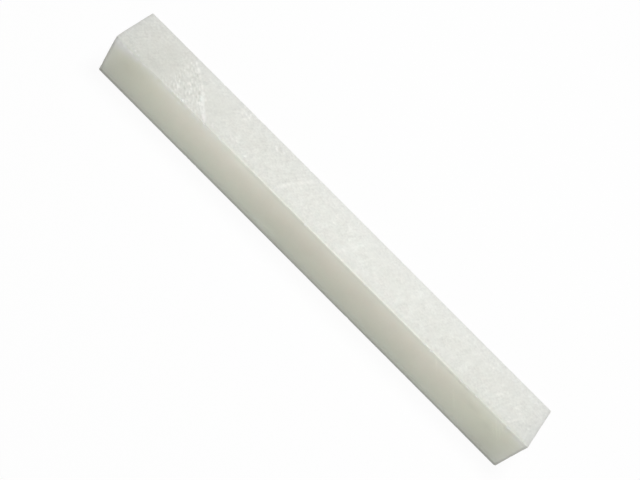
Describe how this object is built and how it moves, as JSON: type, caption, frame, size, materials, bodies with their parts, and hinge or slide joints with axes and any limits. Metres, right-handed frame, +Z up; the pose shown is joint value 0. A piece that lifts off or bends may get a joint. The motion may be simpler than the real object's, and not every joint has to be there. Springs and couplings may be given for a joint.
{
  "type": "soapstone chalk",
  "caption": "Square stick of pale grey-white soapstone for marking metal, stone or cloth, lying on a long face, with sawn ends, rubbed and nicked edges, and a bruised patch on top near one end.",
  "frame": {"origin": "middle of the long face that the stick lies on", "axes": "+X along the stick, away from the end whose top is worn and bruised; +Z up, out of the face opposite the one it lies on; +Y out of the back, which is the long side away from the satin front face at -Y"},
  "size_m": [0.1, 0.01, 0.01],
  "materials": {
    "soapstone": "satin"
  },
  "bodies": {
    "root": {"soapstone_stick": "soapstone"}
  },
  "joints": []
}
